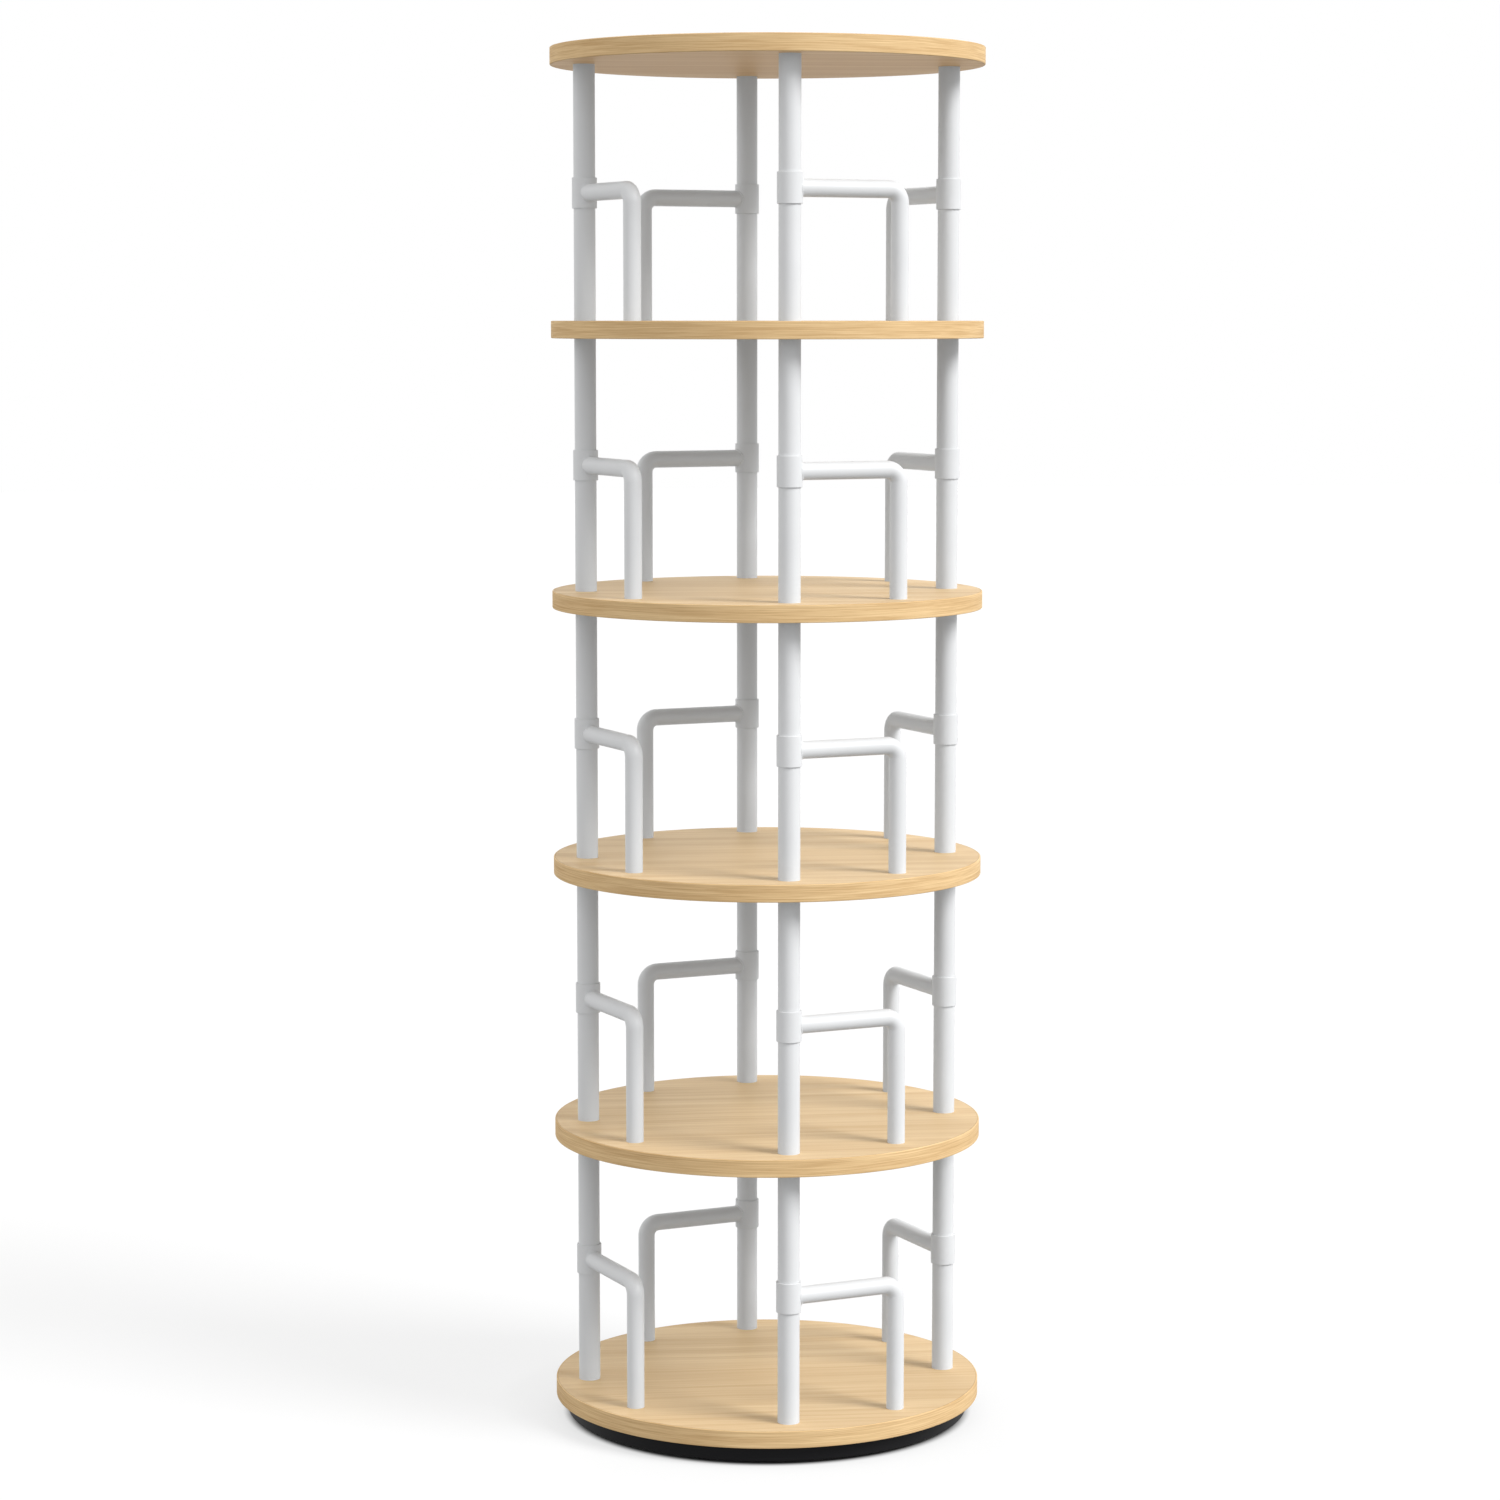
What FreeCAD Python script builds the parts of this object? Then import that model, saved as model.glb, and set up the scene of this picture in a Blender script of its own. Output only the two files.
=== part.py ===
import FreeCAD, Part
import math
import os

# Revolving bookcase: five open tiers of round boards on tube posts, turning on a ball-bearing turntable.
# Millimetres, +Z up. The origin is on the floor on the turning axis, and the front post stands towards -Y.

# Tiers are counted from the floor up. Each post of a tier has a heading, in degrees from +X.
TIER_COUNT = 5
POST_HEADINGS = {"front": -90.0, "right": 0.0, "back": 90.0, "left": 180.0}

# Boards, each with a band glued round its rim
BOARD_DIAMETER = 400.0
BOARD_THICKNESS = 16.0
EDGE_BAND_THICKNESS = 1.0
EDGE_BAND_ROUND = 0.8
GLUE_LINE = 0.05

# Posts: tubes with a threaded plug welded into each end
POST_DIAMETER = 20.0
POST_WALL = 1.2
POST_LENGTH = 233.0
POST_INSET = 31.0
POST_PLUG_LENGTH = 15.0

# Guard rails: a bent tube welded to a sleeve that slips over the post, with a threaded plug in its leg
RAIL_DIAMETER = 16.0
RAIL_WALL = 1.2
RAIL_HEIGHT = 116.5
RAIL_REACH = 109.0
RAIL_BEND_RADIUS = 12.0
RAIL_PLUG_LENGTH = 15.0
SLEEVE_HEIGHT = 28.0
SLEEVE_WALL = 1.2
SLEEVE_CLEARANCE = 0.3
SLEEVE_CHAMFER = 0.5

# Frame fasteners: studs between tiers, flat-head bolts and screws, and blind inserts in the top board
FRAME_THREAD_DIAMETER = 6.0
FRAME_THREAD_GRIP = 12.0
FRAME_HOLE_CLEARANCE = 0.3
INSERT_DIAMETER = 10.0
INSERT_COVER = 5.0
INSERT_END_ROOM = 1.0

# Flat heads: shares of the thread's diameter, or of the head's depth for the socket
HEAD_DIAMETER_SHARE = 2.0
SOCKET_FLATS_SHARE = 0.65
SOCKET_DEPTH_SHARE = 0.8
TIP_CHAMFER_SHARE = 0.15
SOCKET_SIDES = 6
SEAT_CLEARANCE = 0.05

# Base plate and its feet
BASE_INSET = 11.0
BASE_FLOOR = 6.0
BASE_EDGE_ROUND = 1.5
FOOT_COUNT = 8
FOOT_DIAMETER = 28.0
FOOT_THICKNESS = 3.0
FOOT_TAPER = 1.0
FOOT_INSET = 28.0

# Turntable: the outer ring lies in a pocket of the base plate, and the inner ring is under the bottom shelf
POCKET_INSET = 38.0
POCKET_CLEARANCE = 0.3
RUNNING_GAP = 2.5
RING_WIDTH = 14.0
RING_LIP = 1.0
RING_LIFT = 1.0
BALL_DIAMETER = 6.0
BALL_COUNT = 24
BALL_CLEARANCE = 0.12
CAGE_THICKNESS = 2.4
CAGE_SIDE_CLEARANCE = 0.8
CAGE_RIM = 0.9
CAGE_POCKET_CLEARANCE = 0.2

# Turntable screws, and the hole in the base plate through which the upper ones are driven
RING_SCREW_COUNT = 4
RING_SCREW_HEADING = 65.0
RING_THREAD_DIAMETER = 4.0
RING_SCREW_GRIP = 11.0
RING_SCREW_COVER = 1.0
ACCESS_HOLE_DIAMETER = 14.0

# One overrun serves every cut that passes through a face
OVERRUN = 1.0

# Plan
board_radius = BOARD_DIAMETER / 2
core_radius = board_radius - EDGE_BAND_THICKNESS - GLUE_LINE
post_radius = POST_DIAMETER / 2
post_circle = board_radius - POST_INSET
rail_radius = RAIL_DIAMETER / 2
rail_sweep = 2 * math.degrees(math.asin(RAIL_REACH / (2 * post_circle)))
sleeve_bore = post_radius + SLEEVE_CLEARANCE
sleeve_radius = sleeve_bore + SLEEVE_WALL
base_radius = board_radius - BASE_INSET
pocket_radius = base_radius - POCKET_INSET

# Turntable, measured outwards from the balls' track
ball_radius = BALL_DIAMETER / 2
ring_gap = CAGE_THICKNESS + 2 * CAGE_SIDE_CLEARANCE
ring_height = BALL_DIAMETER + 2 * RING_LIP
turntable_height = ring_height + RING_LIFT
outer_ring_radius = pocket_radius - POCKET_CLEARANCE
track_radius = outer_ring_radius - RING_WIDTH - ring_gap / 2
inner_ring_radius = track_radius - ring_gap / 2
lower_screw_circle = outer_ring_radius - RING_WIDTH / 2
upper_screw_circle = inner_ring_radius - RING_WIDTH / 2

# Levels above the floor
base_bottom = FOOT_THICKNESS
pocket_floor = base_bottom + BASE_FLOOR
bottom_shelf_underside = pocket_floor + turntable_height
base_top = bottom_shelf_underside - RUNNING_GAP
track_level = pocket_floor + turntable_height / 2
tier_pitch = POST_LENGTH + BOARD_THICKNESS

ORIGIN = FreeCAD.Vector(0, 0, 0)
UP = FreeCAD.Vector(0, 0, 1)


def at_level(level):
    """The point of the turning axis at a height."""
    return FreeCAD.Vector(0, 0, level)


def spot(radius, heading, level=0):
    """The point at a radius and heading about the turning axis."""
    angle = math.radians(heading)
    return FreeCAD.Vector(radius * math.cos(angle), radius * math.sin(angle), level)


def headings(count, first=0):
    """Evenly spaced headings, from the first one round."""
    return [first + 360 * index / count for index in range(count)]


def moved(shape, place, turn=0, flip=False):
    """A copy of a shape, turned upside down if asked, turned about +Z and moved to a place."""
    copy = shape.copy()
    if flip:
        copy.rotate(ORIGIN, FreeCAD.Vector(1, 0, 0), 180)
    copy.rotate(ORIGIN, UP, turn)
    copy.translate(place)
    return copy


def board_underside(level):
    """Height of a board's underside: level 0 is the bottom shelf and TIER_COUNT is the top panel."""
    return bottom_shelf_underside + level * tier_pitch


def tier_floor(tier):
    """Height of the shelf that a tier's posts stand on."""
    return board_underside(tier - 1) + BOARD_THICKNESS


def turned(outline):
    """A solid of revolution about +Z from a closed outline of (radius, height) points."""
    points = [FreeCAD.Vector(radius, 0, height) for radius, height in outline]
    face = Part.Face(Part.makePolygon(points + points[:1]))
    return face.revolve(ORIGIN, UP, 360)


def ring(inner, outer, bottom, height):
    """A plain ring about the turning axis."""
    top = bottom + height
    return turned([(inner, bottom), (outer, bottom), (outer, top), (inner, top)])


def rounded_disc(radius, bottom, top, edge_round):
    """A disc whose two rims are rounded."""
    disc = Part.makeCylinder(radius, top - bottom, at_level(bottom))
    rims = [edge for edge in disc.Edges if edge.isClosed()]
    return disc.makeFillet(edge_round, rims)


def head_depth(thread):
    """Depth of a right-angled flat head on a thread."""
    return thread * (HEAD_DIAMETER_SHARE - 1) / 2


def flat_head_screw(thread, length):
    """A flat-head screw with a hexagon socket: its head lies at the origin and its shank points up."""
    shank = thread / 2
    head = shank * HEAD_DIAMETER_SHARE
    depth = head_depth(thread)
    chamfer = thread * TIP_CHAMFER_SHARE
    body = turned([
        (0, 0), (head, 0), (shank, depth), (shank, length - chamfer), (shank - chamfer, length), (0, length),
    ])
    corner = thread * SOCKET_FLATS_SHARE / 2 / math.cos(math.pi / SOCKET_SIDES)
    corners = [spot(corner, heading) for heading in headings(SOCKET_SIDES)]
    socket = Part.Face(Part.makePolygon(corners + corners[:1]))
    return body.cut(socket.extrude(UP * depth * SOCKET_DEPTH_SHARE))


def flat_head_hole(thread, depth, clearance):
    """The countersunk hole for such a screw, as a cutter that points up."""
    shank = thread / 2
    mouth = shank * HEAD_DIAMETER_SHARE + SEAT_CLEARANCE
    bore = shank + clearance
    return turned([(0, 0), (mouth, 0), (bore, mouth - bore), (bore, depth), (0, depth)])


def stud(bottom, top):
    """A threaded stud with chamfered ends, on the turning axis."""
    radius = FRAME_THREAD_DIAMETER / 2
    chamfer = FRAME_THREAD_DIAMETER * TIP_CHAMFER_SHARE
    neck = radius - chamfer
    low = bottom + chamfer
    high = top - chamfer
    return turned([(0, bottom), (neck, bottom), (radius, low), (radius, high), (neck, top), (0, top)])


def thread_bore():
    """Radius of a tapped bore that takes the frame's thread."""
    return FRAME_THREAD_DIAMETER / 2 + SEAT_CLEARANCE


def insert_length():
    """Length of a blind insert in the top panel."""
    return BOARD_THICKNESS - INSERT_COVER


def post():
    """One post, standing on the origin: a tube with a tapped plug welded into each end."""
    bore = thread_bore()
    inside = post_radius - POST_WALL
    upper_plug = POST_LENGTH - POST_PLUG_LENGTH
    return turned([
        (bore, 0), (post_radius, 0), (post_radius, POST_LENGTH), (bore, POST_LENGTH),
        (bore, upper_plug), (inside, upper_plug), (inside, POST_PLUG_LENGTH), (bore, POST_PLUG_LENGTH),
    ])


def bent_rod(start, leg_end, radius):
    """A round rod that runs along +X at rail height and turns down into the leg."""
    bend = RAIL_BEND_RADIUS
    bend_start = FreeCAD.Vector(RAIL_REACH - bend, 0, RAIL_HEIGHT)
    bend_end = FreeCAD.Vector(RAIL_REACH, 0, RAIL_HEIGHT - bend)
    bend_centre = FreeCAD.Vector(RAIL_REACH - bend, 0, RAIL_HEIGHT - bend)
    bend_middle = bend_centre + FreeCAD.Vector(1, 0, 1).normalize() * bend
    first = FreeCAD.Vector(start, 0, RAIL_HEIGHT)
    last = FreeCAD.Vector(RAIL_REACH, 0, leg_end)
    path = Part.Wire([
        Part.makeLine(first, bend_start),
        Part.Arc(bend_start, bend_middle, bend_end).toShape(),
        Part.makeLine(bend_end, last),
    ])
    section = Part.Wire(Part.makeCircle(radius, first, FreeCAD.Vector(1, 0, 0)))
    return path.makePipeShell([section], True, False)


def guard_rail():
    """One guard rail round a post at the origin: sleeve, bent tube coped to it, and tapped plug in the leg."""
    low = RAIL_HEIGHT - SLEEVE_HEIGHT / 2
    high = RAIL_HEIGHT + SLEEVE_HEIGHT / 2
    shoulder = sleeve_radius - SLEEVE_CHAMFER
    sleeve = turned([
        (0, low), (shoulder, low), (sleeve_radius, low + SLEEVE_CHAMFER),
        (sleeve_radius, high - SLEEVE_CHAMFER), (shoulder, high), (0, high),
    ])
    post_bore = Part.makeCylinder(sleeve_bore, SLEEVE_HEIGHT + 2 * OVERRUN, at_level(low - OVERRUN))
    hollow = bent_rod(sleeve_radius, RAIL_PLUG_LENGTH, rail_radius - RAIL_WALL)
    leg_bore = Part.makeCylinder(thread_bore(), RAIL_PLUG_LENGTH, FreeCAD.Vector(RAIL_REACH, 0, 0))
    welded = sleeve.fuse(bent_rod(0, 0, rail_radius))
    return welded.cut([post_bore, hollow, leg_bore]).removeSplitter()


def board(level):
    """The core of a board, with the holes that its level needs."""
    bottom = board_underside(level)
    cuts = []
    countersunk = flat_head_hole(FRAME_THREAD_DIAMETER, BOARD_THICKNESS, FRAME_HOLE_CLEARANCE)
    stud_hole = Part.makeCylinder(FRAME_THREAD_DIAMETER / 2 + FRAME_HOLE_CLEARANCE, BOARD_THICKNESS)
    insert_hole = Part.makeCylinder(INSERT_DIAMETER / 2 + SEAT_CLEARANCE, insert_length())
    for heading in POST_HEADINGS.values():
        at_post = spot(post_circle, heading, bottom)
        at_leg = spot(post_circle, heading + rail_sweep, bottom)
        if level == 0:
            cuts.append(moved(countersunk, at_post))
        elif level < TIER_COUNT:
            cuts.append(moved(stud_hole, at_post))
        else:
            cuts.append(moved(insert_hole, at_post))
        if level < TIER_COUNT:
            cuts.append(moved(countersunk, at_leg))
    if level == 0:
        pilot = Part.makeCylinder(RING_THREAD_DIAMETER / 2 + SEAT_CLEARANCE, RING_SCREW_GRIP)
        cuts += [moved(pilot, spot(upper_screw_circle, heading, bottom)) for heading in ring_screw_headings()]
    return Part.makeCylinder(core_radius, BOARD_THICKNESS, at_level(bottom)).cut(cuts)


def edge_band(level):
    """The band round a board's rim, with its two outer edges rounded."""
    bottom = board_underside(level)
    edge_round = min(EDGE_BAND_ROUND, EDGE_BAND_THICKNESS)
    disc = rounded_disc(board_radius, bottom, bottom + BOARD_THICKNESS, edge_round)
    return disc.cut(Part.makeCylinder(core_radius + GLUE_LINE, BOARD_THICKNESS, at_level(bottom)))


def ring_screw_headings():
    """Headings of the screws in either ring of the turntable."""
    return headings(RING_SCREW_COUNT, RING_SCREW_HEADING)


def base_plate():
    """The base plate, with the turntable's pocket, its screw holes and the access hole."""
    plate = rounded_disc(base_radius, base_bottom, base_top, BASE_EDGE_ROUND)
    pocket = Part.makeCylinder(pocket_radius, base_top - pocket_floor, at_level(pocket_floor))
    pilot_depth = BASE_FLOOR - RING_SCREW_COVER
    pilot_radius = RING_THREAD_DIAMETER / 2 + SEAT_CLEARANCE
    pilot = Part.makeCylinder(pilot_radius, pilot_depth)
    pilot_level = base_bottom + RING_SCREW_COVER
    pilots = [moved(pilot, spot(lower_screw_circle, heading, pilot_level)) for heading in ring_screw_headings()]
    access_spot = spot(upper_screw_circle, RING_SCREW_HEADING, base_bottom)
    access_hole = Part.makeCylinder(ACCESS_HOLE_DIAMETER / 2, BASE_FLOOR, access_spot)
    return plate.cut([pocket, access_hole] + pilots)


def feet():
    """The pads under the base plate, tapered towards the floor."""
    top = FOOT_DIAMETER / 2
    pad = turned([(0, 0), (top - FOOT_TAPER, 0), (top, FOOT_THICKNESS), (0, FOOT_THICKNESS)])
    foot_circle = base_radius - FOOT_INSET
    return [moved(pad, spot(foot_circle, heading)) for heading in headings(FOOT_COUNT)]


def groove():
    """The balls' groove, cut half into each ring."""
    return Part.makeTorus(track_radius, ball_radius + BALL_CLEARANCE, at_level(track_level))


def ring_holes(circle, level, flip):
    """Countersunk holes through one ring of the turntable."""
    hole = flat_head_hole(RING_THREAD_DIAMETER, ring_height, SEAT_CLEARANCE)
    return [moved(hole, spot(circle, heading, level), 0, flip) for heading in ring_screw_headings()]


def lower_ring():
    """The outer ring of the turntable, screwed down into the base plate's pocket."""
    blank = ring(outer_ring_radius - RING_WIDTH, outer_ring_radius, pocket_floor, ring_height)
    return blank.cut([groove()] + ring_holes(lower_screw_circle, pocket_floor + ring_height, True))


def upper_ring():
    """The inner ring of the turntable, screwed up under the bottom shelf."""
    bottom = pocket_floor + RING_LIFT
    blank = ring(inner_ring_radius - RING_WIDTH, inner_ring_radius, bottom, ring_height)
    return blank.cut([groove()] + ring_holes(upper_screw_circle, bottom, False))


def lower_ring_screws():
    """Screws driven down through the outer ring into the base plate."""
    screw = flat_head_screw(RING_THREAD_DIAMETER, ring_height + BASE_FLOOR - RING_SCREW_COVER)
    top = pocket_floor + ring_height
    return [moved(screw, spot(lower_screw_circle, heading, top), 0, True) for heading in ring_screw_headings()]


def upper_ring_screws():
    """Screws driven up through the inner ring into the bottom shelf."""
    screw = flat_head_screw(RING_THREAD_DIAMETER, ring_height + RING_SCREW_GRIP)
    bottom = pocket_floor + RING_LIFT
    return [moved(screw, spot(upper_screw_circle, heading, bottom)) for heading in ring_screw_headings()]


def balls():
    """The turntable's balls, evenly spaced round the track."""
    ball = Part.makeSphere(ball_radius)
    return [moved(ball, spot(track_radius, heading, track_level)) for heading in headings(BALL_COUNT)]


def ball_cage():
    """The ring that keeps the balls apart, with a round pocket for each."""
    height = BALL_DIAMETER + 2 * CAGE_RIM
    inner = track_radius - CAGE_THICKNESS / 2
    band = ring(inner, inner + CAGE_THICKNESS, track_level - height / 2, height)
    pocket_bore = ball_radius + CAGE_POCKET_CLEARANCE
    pockets = []
    for heading in headings(BALL_COUNT):
        inside = spot(inner - OVERRUN, heading, track_level)
        pockets.append(Part.makeCylinder(pocket_bore, CAGE_THICKNESS + 2 * OVERRUN, inside, spot(1, heading)))
    return band.cut(pockets)


def post_bolts():
    """Flat-head bolts up through the bottom shelf into the first tier's posts."""
    bolt = flat_head_screw(FRAME_THREAD_DIAMETER, BOARD_THICKNESS + FRAME_THREAD_GRIP)
    return [moved(bolt, spot(post_circle, heading, board_underside(0))) for heading in POST_HEADINGS.values()]


def post_studs():
    """Studs that join the posts of neighbouring tiers, and those of the last tier to the top panel."""
    studs = []
    for level in range(1, TIER_COUNT + 1):
        bottom = board_underside(level)
        reach = BOARD_THICKNESS + FRAME_THREAD_GRIP
        if level == TIER_COUNT:
            reach = insert_length() - INSERT_END_ROOM
        piece = stud(bottom - FRAME_THREAD_GRIP, bottom + reach)
        studs += [moved(piece, spot(post_circle, heading)) for heading in POST_HEADINGS.values()]
    return studs


def top_inserts():
    """Threaded inserts let into the top panel's underside, over the last tier's posts."""
    insert = ring(thread_bore(), INSERT_DIAMETER / 2, board_underside(TIER_COUNT), insert_length())
    return [moved(insert, spot(post_circle, heading)) for heading in POST_HEADINGS.values()]


def rail_screws():
    """Flat-head screws up through each shelf into the rails' legs."""
    screw = flat_head_screw(FRAME_THREAD_DIAMETER, BOARD_THICKNESS + FRAME_THREAD_GRIP)
    screws = []
    for level in range(TIER_COUNT):
        for heading in POST_HEADINGS.values():
            screws.append(moved(screw, spot(post_circle, heading + rail_sweep, board_underside(level))))
    return screws


def board_name(level):
    """The node name of a board."""
    if level == 0:
        return "bottom_shelf"
    if level == TIER_COUNT:
        return "top_panel"
    return f"shelf_{level + 1}"


def all_nodes():
    """Every node of the bookcase by name, as a list of its solids."""
    levels = range(TIER_COUNT + 1)
    nodes = {
        "base_plate": [base_plate()],
        "feet": feet(),
        "turntable_lower_ring": [lower_ring()],
        "turntable_lower_screws": lower_ring_screws(),
        "turntable_ball_cage": [ball_cage()],
        "turntable_balls": balls(),
        "turntable_upper_ring": [upper_ring()],
        "turntable_upper_screws": upper_ring_screws(),
        "edge_bands": [edge_band(level) for level in levels],
        "post_bolts": post_bolts(),
        "post_studs": post_studs(),
        "top_inserts": top_inserts(),
        "rail_screws": rail_screws(),
    }
    for level in levels:
        nodes[board_name(level)] = [board(level)]
    one_post = post()
    one_rail = guard_rail()
    for tier in range(1, TIER_COUNT + 1):
        for side, heading in POST_HEADINGS.items():
            foot = spot(post_circle, heading, tier_floor(tier))
            nodes[f"post_{tier}_{side}"] = [moved(one_post, foot)]
            along_rim = heading + 90 + rail_sweep / 2
            nodes[f"guard_rail_{tier}_{side}"] = [moved(one_rail, foot, along_rim)]
    return nodes


os.makedirs("parts", exist_ok=True)
for name, solids in all_nodes().items():
    node = solids[0] if len(solids) == 1 else Part.makeCompound(solids)
    node.exportStep(f"parts/{name}.step")
    print(f"{name}: {len(solids)} solid(s), {node.Volume:.0f} mm3, valid {node.isValid()}")
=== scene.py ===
# %% [markdown]
# # A revolving bookcase
# Round boards are held apart by white tube posts, and every post carries a bent guard rail. All of
# it turns on a ball-bearing turntable that is hidden in a black base. The construction model already
# holds each piece at its real size, so this lesson loads it as a fixed frame and adds what a camera
# sees: grain, paint, welds, screws and light.

# %% Load the frame
import math

import bpy
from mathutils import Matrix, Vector


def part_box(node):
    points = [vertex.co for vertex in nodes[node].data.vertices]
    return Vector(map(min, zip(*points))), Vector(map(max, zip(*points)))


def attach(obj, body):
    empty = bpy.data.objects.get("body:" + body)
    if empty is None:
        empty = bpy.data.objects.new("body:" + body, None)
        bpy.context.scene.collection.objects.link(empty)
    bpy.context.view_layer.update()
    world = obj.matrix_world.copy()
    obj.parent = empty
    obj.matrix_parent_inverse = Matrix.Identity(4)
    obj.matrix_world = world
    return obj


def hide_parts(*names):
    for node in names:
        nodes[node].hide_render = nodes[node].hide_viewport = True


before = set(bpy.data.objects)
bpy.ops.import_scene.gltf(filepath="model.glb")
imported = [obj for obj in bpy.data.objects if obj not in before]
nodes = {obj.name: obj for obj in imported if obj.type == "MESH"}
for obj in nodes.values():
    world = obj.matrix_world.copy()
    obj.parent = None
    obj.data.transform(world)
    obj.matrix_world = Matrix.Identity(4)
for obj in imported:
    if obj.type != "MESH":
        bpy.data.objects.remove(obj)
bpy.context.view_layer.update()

# %% [markdown]
# ## Reading sizes off the frame
# A dressed piece has to sit exactly where the construction has it. The sizes could be typed in
# again, but typed numbers drift when the construction changes. So they are measured on the frame's
# own meshes: the rim's radius is the furthest point from the turning axis, and a post's place is the
# middle of the ring of points it stands on.

# %% Measure boards and posts
SIDES = ("front", "right", "back", "left")
TIERS = range(1, 6)
BOARDS = ("bottom_shelf", "shelf_2", "shelf_3", "shelf_4", "shelf_5", "top_panel")
POSTS = [f"post_{tier}_{side}" for tier in TIERS for side in SIDES]
RAILS = [f"guard_rail_{tier}_{side}" for tier in TIERS for side in SIDES]
THIN_SLICES = 100


def points_of(node):
    """The corner points of a node, each once."""
    return [Vector(place) for place in {tuple(vertex.co) for vertex in nodes[node].data.vertices}]


def reach(node):
    """How far a node reaches from the turning axis."""
    return max(point.xy.length for point in points_of(node))


def foot_of(node):
    """The middle of the round end that a node stands on."""
    low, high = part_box(node)
    ring_top = low.z + (high.z - low.z) / THIN_SLICES
    ring = [point for point in points_of(node) if point.z < ring_top]
    return sum(ring, Vector()) / len(ring)


rim_radius = reach("edge_bands")
core_radius = reach("bottom_shelf")
board_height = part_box("bottom_shelf")[1].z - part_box("bottom_shelf")[0].z
print(f"rim {rim_radius:.4f} m, core {core_radius:.5f} m, board {board_height:.4f} m")

# %% [markdown]
# ## Measuring one guard rail
# A guard rail is a sleeve round its post and a bent tube that runs from the sleeve to a leg on the
# shelf. All twenty are alike, so one is measured. Seen from the post, the points on the side away
# from the leg belong to the sleeve alone, and they give its bore, its radius and its height.

# %% Measure one rail
LEG_SLICES = 10

post_spot = foot_of(POSTS[0])
leg_spot = foot_of(RAILS[0])
rail_line = leg_spot - post_spot
rail_reach = rail_line.length
leg_top = leg_spot.z + rail_reach / LEG_SLICES
rail_points = points_of(RAILS[0])
sleeve_points = [point - post_spot for point in rail_points if (point - post_spot).dot(rail_line) < 0]
leg_points = [point - leg_spot for point in rail_points if point.z < leg_top]

tube_radius = max(point.xy.length for point in leg_points)
sleeve_radius = max(point.xy.length for point in sleeve_points)
sleeve_bore = min(point.xy.length for point in sleeve_points)
sleeve_low = min(point.z for point in sleeve_points)
sleeve_high = max(point.z for point in sleeve_points)
sleeve_height = sleeve_high - sleeve_low
rail_height = (sleeve_low + sleeve_high) / 2
print(f"rail: reach {rail_reach:.4f} m, height {rail_height:.4f} m, tube radius {tube_radius:.4f} m")
print(f"sleeve: radius {sleeve_radius:.4f} m, bore {sleeve_bore:.4f} m, height {sleeve_height:.4f} m")

# %% [markdown]
# ## The camera
# The photograph was taken with a level camera about a metre above the floor, a little to the left of
# the front post. A level camera needs a large lens shift to frame a tall object, and the shift would
# push the object out of every other view. A camera that tilts down a little shows the same sides,
# with verticals that lean by less than a degree.

# %% Place the camera
CAMERA_DISTANCE = 3.647
CAMERA_HEIGHT = 1.033
CAMERA_AZIMUTH = math.radians(-6.7)
CAMERA_TURN = math.radians(0.253)
CAMERA_TILT = math.radians(-6.296)
CAMERA_LENS = 94.08


def add_object(name, data):
    """An object in the scene that shows some data."""
    made = bpy.data.objects.new(name, data)
    bpy.context.scene.collection.objects.link(made)
    return made


camera = add_object("photo_camera", bpy.data.cameras.new("photo_camera"))
camera.data.lens = CAMERA_LENS
camera.location.x = CAMERA_DISTANCE * math.sin(CAMERA_AZIMUTH)
camera.location.y = -CAMERA_DISTANCE * math.cos(CAMERA_AZIMUTH)
camera.location.z = CAMERA_HEIGHT
camera.rotation_euler = (math.pi / 2 + CAMERA_TILT, 0, CAMERA_AZIMUTH + CAMERA_TURN)
bpy.context.scene.camera = camera
print("camera at", [round(value, 3) for value in camera.location])

# %% [markdown]
# ## Building node trees in code
# Every finish and every repeated piece below is a node tree. A few small helpers keep the trees
# readable: one adds a node and fills its inputs, and the others give arithmetic, vectors, colour
# mixes and stretched noise.

# %% Helpers for any node tree
def add(tree, kind, inputs=None, **settings):
    """Add a node, apply its settings, and set or link each named input."""
    made = tree.nodes.new(kind)
    for key, value in settings.items():
        setattr(made, key, value)
    for key, value in (inputs or {}).items():
        if isinstance(value, bpy.types.NodeSocket):
            tree.links.new(value, made.inputs[key])
        else:
            made.inputs[key].default_value = value
    return made


def sums(tree, operation, first, second=0.0, third=0.0):
    """A math node's result."""
    return add(tree, "ShaderNodeMath", {0: first, 1: second, 2: third}, operation=operation).outputs[0]


def vector(tree, x=0.0, y=0.0, z=0.0):
    """A vector from three numbers or sockets."""
    return add(tree, "ShaderNodeCombineXYZ", {"X": x, "Y": y, "Z": z}).outputs[0]


def axes_of(tree, place):
    """The three parts of a vector."""
    return add(tree, "ShaderNodeSeparateXYZ", {0: place}).outputs


def vector_sums(tree, operation, first, second):
    """A vector math node's vector."""
    inputs = {0: first, 1: second}
    return add(tree, "ShaderNodeVectorMath", inputs, operation=operation).outputs["Vector"]


def flat_length(tree, place):
    """How far a place is from the Z axis."""
    flat = vector_sums(tree, "MULTIPLY", place, (1.0, 1.0, 0.0))
    return add(tree, "ShaderNodeVectorMath", {0: flat}, operation="LENGTH").outputs["Value"]


print("helpers ready: add, sums, vector, axes_of, vector_sums, flat_length")

# %% Helpers for colour, noise and bumps
MIX_FACTOR, MIX_A, MIX_B, MIX_RESULT = 0, 6, 7, 2


def mixed(tree, factor, first, second, blend="MIX"):
    """Two colours mixed by a factor."""
    inputs = {MIX_FACTOR: factor, MIX_A: first, MIX_B: second}
    mix = add(tree, "ShaderNodeMix", inputs, data_type="RGBA", blend_type=blend)
    return mix.outputs[MIX_RESULT]


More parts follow.
